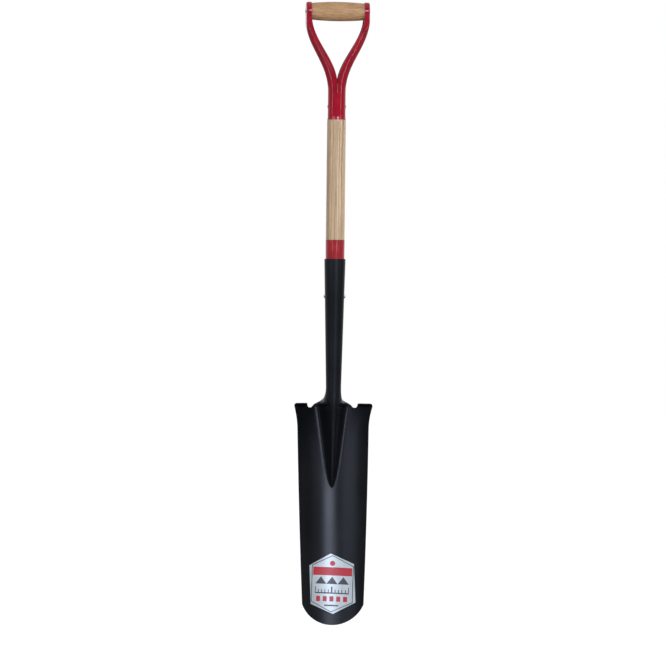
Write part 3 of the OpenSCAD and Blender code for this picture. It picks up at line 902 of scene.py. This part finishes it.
def label_print(tree, sizes):
    """Masks of the label's red and dark ink: a dot, a band, hills, a depth scale and a row of blocks."""
    turned = put(tree, "VectorRotate", {"Vector": own_place(tree), "Center": MIDDLE["label"],
                                        "Axis": (0.0, 1.0, 0.0), "Angle": -sizes.tilt})
    parts = put(tree, "SeparateXYZ", {0: turned.outputs[0]}).outputs
    a, b = parts[0], calc(tree, "SUBTRACT", parts[2], MIDDLE["label"].z)

    def bar(value, centre, half):
        return calc(tree, "COMPARE", value, centre, half)

    def both(*masks):
        return functools.reduce(functools.partial(calc, tree, "MULTIPLY"), masks)

    def either(*masks):
        return functools.reduce(functools.partial(calc, tree, "MAXIMUM"), masks)

    def row(name):
        half_pitch, half_wide, height, half_tall = MARKS[name]
        wide = calc(tree, "LESS_THAN", calc(tree, "PINGPONG", a, half_pitch), half_wide)
        return both(wide, bar(b, height, half_tall), middle)

    half_wide, half_tall = sizes.width / 2, sizes.height / 2
    slope = sizes.point / half_wide
    off = calc(tree, "ABSOLUTE", a)
    side = calc(tree, "SUBTRACT", half_wide, off)
    top = calc(tree, "SUBTRACT", half_tall, calc(tree, "ABSOLUTE", b))
    top = calc(tree, "SUBTRACT", top, calc(tree, "MULTIPLY", off, slope))
    inset = calc(tree, "MINIMUM", side, calc(tree, "MULTIPLY", top, math.cos(math.atan(slope))))
    middle = bar(a, 0.0, PRINT_HALF)
    band = both(bar(b, *LINES["band"]), calc(tree, "GREATER_THAN", inset, BAND_IN))
    rise = calc(tree, "POWER", calc(tree, "SUBTRACT", b, DOT_HEIGHT), 2.0)
    far = calc(tree, "SQRT", calc(tree, "ADD", calc(tree, "POWER", off, 2.0), rise))
    dot = calc(tree, "LESS_THAN", far, DOT_RADIUS)
    ridge = calc(tree, "PINGPONG", calc(tree, "ADD", a, HILL_HALF), HILL_HALF)
    peak = calc(tree, "MULTIPLY_ADD", ridge, HILL_SLOPE, HILL_FOOT)
    hills = both(calc(tree, "LESS_THAN", b, peak), calc(tree, "GREATER_THAN", b, HILL_FOOT), middle)
    rule = both(bar(b, *LINES["rule"]), bar(a, 0.0, RULE_HALF))
    base_line = both(bar(b, *LINES["base"]), middle)
    red = either(band, row("blocks"), dot)
    return red, either(bar(inset, *FRAME_LINE), hills, rule, base_line, row("ticks"), row("posts"))


def foil_material(finish, sizes):
    """Printed foil with fine creases."""
    made, tree, shader = new_material("label_foil")
    red, dark = label_print(tree, sizes)
    ink = calc(tree, "MAXIMUM", red, dark)
    crease = noise(tree, own_place(tree), 75.0, 3.0)
    base = blend(tree, varied(tree, crease), shade(finish.foil, 0.86), finish.foil)
    base = blend(tree, red, base, finish.print_red)
    base = blend(tree, dark, base, finish.print_dark)
    rough = calc(tree, "MULTIPLY_ADD", ink, 0.06, varied(tree, crease, 0.33, 0.41))
    link(tree, shader, base, rough, crease, depth=0.00008, metal=between(tree, ink, 0.25, 0.0))
    return made


# Pieces

class SPADE_OT_blade(bpy.types.Operator):
    """Build the pressed blade with its treads, frog, neck and socket"""

    bl_idname = "spade.blade"
    bl_label = "Blade"

    def execute(self, context):
        sizes = context.scene.spade_blade
        add_sheet("blade_sheet", BladeForm(sizes).grids(), coat_material(context.scene.spade_finish),
                  "blade", sizes.sheet, sizes.rounding)
        return {"FINISHED"}


class SPADE_OT_shaft(bpy.types.Operator):
    """Turn the ash shaft with its driven end and its tenon"""

    bl_idname = "spade.shaft"
    bl_label = "Shaft"

    def execute(self, context):
        sizes, finish = context.scene.spade_shaft, context.scene.spade_finish
        radius, low, high = sizes.diameter / 2, LOW["shaft"].z, HIGH["shaft"].z
        band_low, band_high = LOW["shaft_band"].z, HIGH["shaft_band"].z
        shoulder = YokeForm(context.scene.spade_grip).foot_z
        outline = [(0, low), (sizes.end / 2, low), (radius - sizes.fall, band_low), (radius, band_high),
                   (radius, shoulder), (sizes.tenon / 2, shoulder), (sizes.tenon / 2, high), (0, high)]
        rows = turned_rows(fine(soften(outline, sizes.rounding), LONG_STEP))
        # The heart lies left of and behind the shaft, so the darker wood near it is partly brown wood
        # and partly painted shade down the shaft's left side
        wood = wood_material("ash_shaft", finish.ash, finish.ash_dark, heart=(-0.046, 0.028, 0.0),
                             ring=0.0023, varnish=0.8)
        add_turned("shaft_ash", rows, wood, "shaft")
        return {"FINISHED"}


class SPADE_OT_band(bpy.types.Operator):
    """Wrap the red film band round the shaft"""

    bl_idname = "spade.band"
    bl_label = "Band"

    def execute(self, context):
        sizes = context.scene.spade_shaft
        radius, low, high = sizes.diameter / 2, LOW["shaft_band"].z, HIGH["shaft_band"].z
        foot, film = radius - sizes.fall, sizes.film
        outline = [(foot, low), (foot + film, low), (radius + film, high), (radius, high), (foot, low)]
        rows = turned_rows(fine(soften(outline, film / 2), SHORT_STEP))
        film_red = film_material(context.scene.spade_finish)
        add_turned("band_film", rows, film_red, "shaft_band")
        return {"FINISHED"}


class SPADE_OT_yoke(bpy.types.Operator):
    """Press the red yoke with its tube, arms and cups"""

    bl_idname = "spade.yoke"
    bl_label = "Yoke"

    def execute(self, context):
        sizes = context.scene.spade_grip
        add_sheet("yoke_sheet", YokeForm(sizes).grids(), enamel_material(context.scene.spade_finish),
                  "yoke", sizes.sheet, sizes.rounding)
        return {"FINISHED"}


class SPADE_OT_crossbar(bpy.types.Operator):
    """Turn the wooden barrel of the grip"""

    bl_idname = "spade.crossbar"
    bl_label = "Crossbar"

    def execute(self, context):
        sizes, finish = context.scene.spade_grip, context.scene.spade_finish
        half, end, middle = SPAN["crossbar"].x / 2, sizes.bar_end / 2, SPAN["crossbar"].z / 2
        hand, bore = sizes.hand / 2, sizes.bore / 2
        barrel = [(mix(middle, end, mix(-1, 1, k) ** 2), mix(-hand, hand, k))
                  for k in spread(BARREL_ROWS)]
        ends = soften([(bore, -half), (end, -half), (end, -hand)], sizes.bar_rounding)
        outline = ends[:-1] + barrel + [(r, -x) for r, x in reversed(ends[:-1])] + [ends[0]]
        rows = across(turned_rows(fine(outline, SHORT_STEP)), MIDDLE["crossbar"])
        heart = (MIDDLE["crossbar"].z + 0.16, 0.04, 0.0)
        wood = wood_material("bar_wood", finish.bar, finish.bar_dark, heart, ring=0.0024, varnish=0.0,
                             along=(0, math.pi / 2, 0), pace=(7, 1, 1))
        add_turned("crossbar_wood", rows, wood, "crossbar")
        return {"FINISHED"}


class SPADE_OT_fasteners(bpy.types.Operator):
    """Set the rivets of the socket and the yoke, and the rod through the crossbar"""

    bl_idname = "spade.fasteners"
    bl_label = "Rivets and rod"

    def execute(self, context):
        scene = context.scene
        grip, finish, form = scene.spade_grip, scene.spade_finish, BladeForm(scene.spade_blade)
        pins = (
            ("rivet_socket", "socket_rivet", "rivet_steel", grip.socket_rivet, grip.socket_head,
             zinc_material("zinc_bright", finish, dull=0.0),
             lambda y, z: math.sqrt(form.socket_radius(z) ** 2 - y ** 2)),
            ("rivet_yoke", "yoke_rivet", "yoke_red", grip.yoke_rivet, grip.yoke_head,
             bpy.data.materials.get("enamel_red") or enamel_material(finish),
             lambda y, z: math.sqrt((grip.tube / 2) ** 2 - y ** 2)),
            ("rod_crossbar", "crossbar_rod", "rod_steel", grip.rod, grip.rod_head,
             zinc_material("zinc_dull", finish, dull=0.8),
             lambda y, z: SPAN["yoke"].x / 2),
        )
        for name, node, slot, shank, head, material, seat in pins:
            add_turned(name, pin_rows(node, shank, head, seat), material, node)
        return {"FINISHED"}


class SPADE_OT_label(bpy.types.Operator):
    """Lay the foil label in the gutter"""

    bl_idname = "spade.label"
    bl_label = "Label"

    def execute(self, context):
        scene = context.scene
        sizes, form = scene.spade_label, BladeForm(scene.spade_blade)
        middle = MIDDLE["label"].z - form.tip_z
        cosine, sine = math.cos(sizes.tilt), math.sin(sizes.tilt)
        rows = []
        for v in spread(LABEL_ROWS):
            row = []
            for u in (mix(-1, 1, k) for k in spread(LABEL_COLUMNS)):
                a = u * sizes.width / 2
                b = mix(-1, 1, v) * (sizes.height / 2 - sizes.point * abs(u))
                x, h = a * cosine - b * sine, middle + a * sine + b * cosine
                stand = form.front(x) * sizes.stand + Vector((0, 0, form.tip_z))
                row.append(form.open_point(x, h) + stand)
            rows.append(row)
        add_sheet("label_foil", [rows], foil_material(scene.spade_finish, sizes), "label",
                  sizes.foil, sizes.foil / 4)
        return {"FINISHED"}


# Stage

def facing(tree, way, axis):
    """How far a direction points along an axis."""
    return put(tree, "VectorMath", {0: way, 1: axis}, operation="DOT_PRODUCT").outputs["Value"]


def studio_world(settings):
    """Soft light, white to the camera; gloss sees white behind and above, and a dim room in front."""
    world = bpy.data.worlds.new("studio")
    bpy.context.scene.world = world
    tree = clear_tree(world)
    path = put(tree, "LightPath").outputs
    gloss = calc(tree, "MAXIMUM", path["Is Glossy Ray"], path["Is Transmission Ray"])
    way = put(tree, "TexCoord").outputs["Generated"]
    soft = calc(tree, "MULTIPLY_ADD", facing(tree, way, LIGHT_SIDE), settings.fill, settings.fill)
    room = remap(tree, facing(tree, way, BACK_AND_UP), -0.3, 0.8, FRONT_DIM, 1.0)
    level = between(tree, gloss, soft, room)
    strength = between(tree, path["Is Camera Ray"], level, 1.0)
    sky = put(tree, "Background", {"Color": (1.0, 1.0, 1.0, 1.0), "Strength": strength})
    put(tree, "OutputWorld", {"Surface": sky.outputs[0]})


def floor_material():
    """Grey floor that keeps the spade's shadow, with a glow that makes it white to the camera."""
    made = bpy.data.materials.new("studio_floor")
    tree = clear_tree(made)
    grain = noise(tree, own_place(tree), 40.0)
    paint = blend(tree, grain, (0.28, 0.28, 0.28), (0.32, 0.32, 0.32))
    matt = put(tree, "BsdfDiffuse", {"Color": paint})
    seen = calc(tree, "MULTIPLY", put(tree, "LightPath").outputs["Is Camera Ray"], 0.85)
    glow = put(tree, "Emission", {"Strength": seen})
    both = put(tree, "AddShader", {0: matt.outputs[0], 1: glow.outputs[0]})
    put(tree, "OutputMaterial", {"Surface": both.outputs[0]})
    return made


def outward(turn):
    """The level direction at a turn round the shaft's axis."""
    return Vector((math.sin(turn), -math.cos(turn), 0))


def strip_lamp(name, turn, distance, low, high, width, brightness, tint):
    """An upright lamp at a turn round the shaft's axis, which faces that axis."""
    tall = high - low
    data = bpy.data.lights.new(name, "AREA")
    data.shape = "RECTANGLE"
    data.size, data.size_y = width, tall
    data.energy = brightness * math.pi * width * tall
    data.color = tint
    lamp = bpy.data.objects.new(name, data)
    away = outward(turn)
    lamp.location = away * distance + Vector((0, 0, (low + high) / 2))
    lamp.rotation_mode = "QUATERNION"
    lamp.rotation_quaternion = (-away).to_track_quat("-Z", "Y")
    lamp.visible_camera = False
    bpy.context.scene.collection.objects.link(lamp)


def add_floor():
    """A wide floor at the height of the blade's tip."""
    sides = (-FLOOR_HALF, FLOOR_HALF)
    corners = [[Vector((x, y, CAD_BOX[0].z)) for x in sides] for y in sides]
    floor = bpy.data.objects.new("floor", grid_mesh("floor", [corners]))
    bpy.context.scene.collection.objects.link(floor)
    floor.data.materials.append(floor_material())


def add_lamps(settings):
    """High far panels for the blade, and near strips for the shaft, the grip and the frog."""
    cool, plain = (0.70, 0.79, 1.0), (1.0, 1.0, 1.0)
    # Name, turn from the camera in degrees, distance, lower and upper end, width, brightness, tint
    lamps = (
        ("left_panel", -35.5, 6.0, 0.85, 2.4, 4.2, settings.panel, cool),
        ("right_strip", 17, 6.0, 0.85, 2.4, 2.35, settings.strip, cool),
        ("right_panel", 46, 6.0, 0.85, 2.4, 3.6, settings.side, cool),
        ("shaft_left", -30, 0.55, -0.130, 0.085, 0.05, settings.near_left, plain),
        ("shaft_right", 20, 0.55, -0.130, 0.085, 0.05, settings.near_right, plain),
        ("grip_left", -58, 0.55, -0.11, 0.50, 0.03, settings.grip_left, plain),
        ("grip_right", 57, 0.55, -0.11, 0.50, 0.03, settings.grip_right, plain),
        ("frog_low", 0, 0.55, -0.76, -0.58, 0.03, settings.frog_low, cool),
    )
    for name, degrees, *rest in lamps:
        strip_lamp(name, settings.azimuth + math.radians(degrees), *rest)


def add_camera(settings):
    """A far camera that looks level at the spade and is rolled a little."""
    camera = bpy.data.objects.new("camera", bpy.data.cameras.new("camera"))
    camera.data.lens = camera.data.sensor_width * settings.distance / settings.frame_width
    camera.data.clip_end = 100.0
    back, right = outward(settings.azimuth), outward(settings.azimuth + math.pi / 2)
    aim = right * settings.aim_x + Vector((0, 0, settings.aim_z))
    camera.location = aim + back * settings.distance
    camera.rotation_mode = "QUATERNION"
    level = (-back).to_track_quat("-Z", "Y")
    camera.rotation_quaternion = level @ Quaternion((0, 0, 1), settings.roll)
    bpy.context.scene.collection.objects.link(camera)
    bpy.context.scene.camera = camera


class SPADE_OT_stage(bpy.types.Operator):
    """Set up the floor, the lamps, the white surround and the camera"""

    bl_idname = "spade.stage"
    bl_label = "Stage"

    def execute(self, context):
        settings = context.scene.spade_stage
        context.scene.view_settings.view_transform = "Standard"
        studio_world(settings)
        add_floor()
        add_lamps(settings)
        add_camera(settings)
        return {"FINISHED"}


class SPADE_PT_sidebar(bpy.types.Panel):
    """Sizes, finishes and pieces of the spade"""

    bl_idname = "SPADE_PT_sidebar"
    bl_label = "Trenching Spade"
    bl_space_type = "VIEW_3D"
    bl_region_type = "UI"
    bl_category = "Spade"

    def draw(self, context):
        for attribute, kind in SETTINGS.items():
            box = self.layout.box()
            box.label(text=kind.__doc__)
            for key in kind.__annotations__:
                box.prop(getattr(context.scene, attribute), key)
        for kind in OPERATORS:
            self.layout.operator(kind.bl_idname)


SETTINGS = {
    "spade_blade": BladeSizes,
    "spade_shaft": ShaftSizes,
    "spade_grip": GripSizes,
    "spade_label": LabelSizes,
    "spade_finish": Finishes,
    "spade_stage": StageSettings,
}
OPERATORS = (
    SPADE_OT_blade,
    SPADE_OT_shaft,
    SPADE_OT_band,
    SPADE_OT_yoke,
    SPADE_OT_crossbar,
    SPADE_OT_fasteners,
    SPADE_OT_label,
    SPADE_OT_stage,
)
CLASSES = (*SETTINGS.values(), *OPERATORS, SPADE_PT_sidebar)


def register():
    """Adds the classes, and the settings to the scene."""
    for kind in CLASSES:
        bpy.utils.register_class(kind)
    for attribute, kind in SETTINGS.items():
        setattr(bpy.types.Scene, attribute, PointerProperty(type=kind))


def unregister():
    """Takes the settings and the classes away again."""
    for attribute in SETTINGS:
        delattr(bpy.types.Scene, attribute)
    for kind in reversed(CLASSES):
        bpy.utils.unregister_class(kind)


def main():
    """Builds every piece and the stage."""
    register()
    for kind in OPERATORS:
        family, name = kind.bl_idname.split(".")
        getattr(getattr(bpy.ops, family), name)()
    bpy.context.view_layer.update()


if __name__ == "__main__":
    main()
